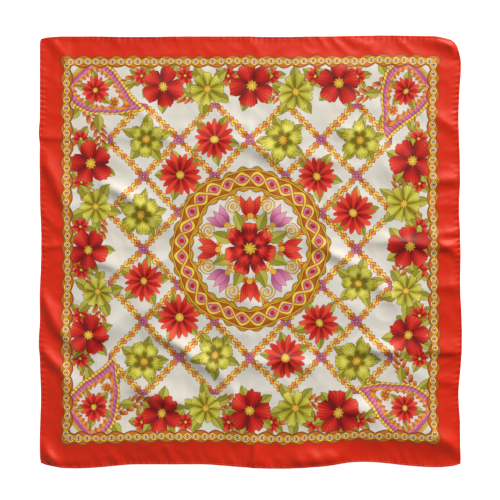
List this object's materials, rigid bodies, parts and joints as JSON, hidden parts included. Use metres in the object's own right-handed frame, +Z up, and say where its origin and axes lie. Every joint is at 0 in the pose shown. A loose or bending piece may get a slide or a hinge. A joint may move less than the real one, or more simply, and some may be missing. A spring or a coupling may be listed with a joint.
{
  "type": "square scarf",
  "caption": "Flat-laid square silk scarf with rolled hems, a coral-red border and a flower print on ivory, lying in soft folds and storage creases.",
  "frame": {"origin": "the middle of the scarf's outline, on the surface it lies on", "axes": "+X towards its right edge, +Y towards its top edge, +Z up from the surface"},
  "size_m": [0.864, 0.885, 0.0141],
  "materials": {
    "printed_silk": "soft sheen",
    "border_silk": "soft sheen"
  },
  "bodies": {
    "root": {"silk_panel": "printed_silk", "hem_top": "border_silk", "hem_bottom": "border_silk", "hem_left": "border_silk", "hem_right": "border_silk"}
  },
  "joints": []
}
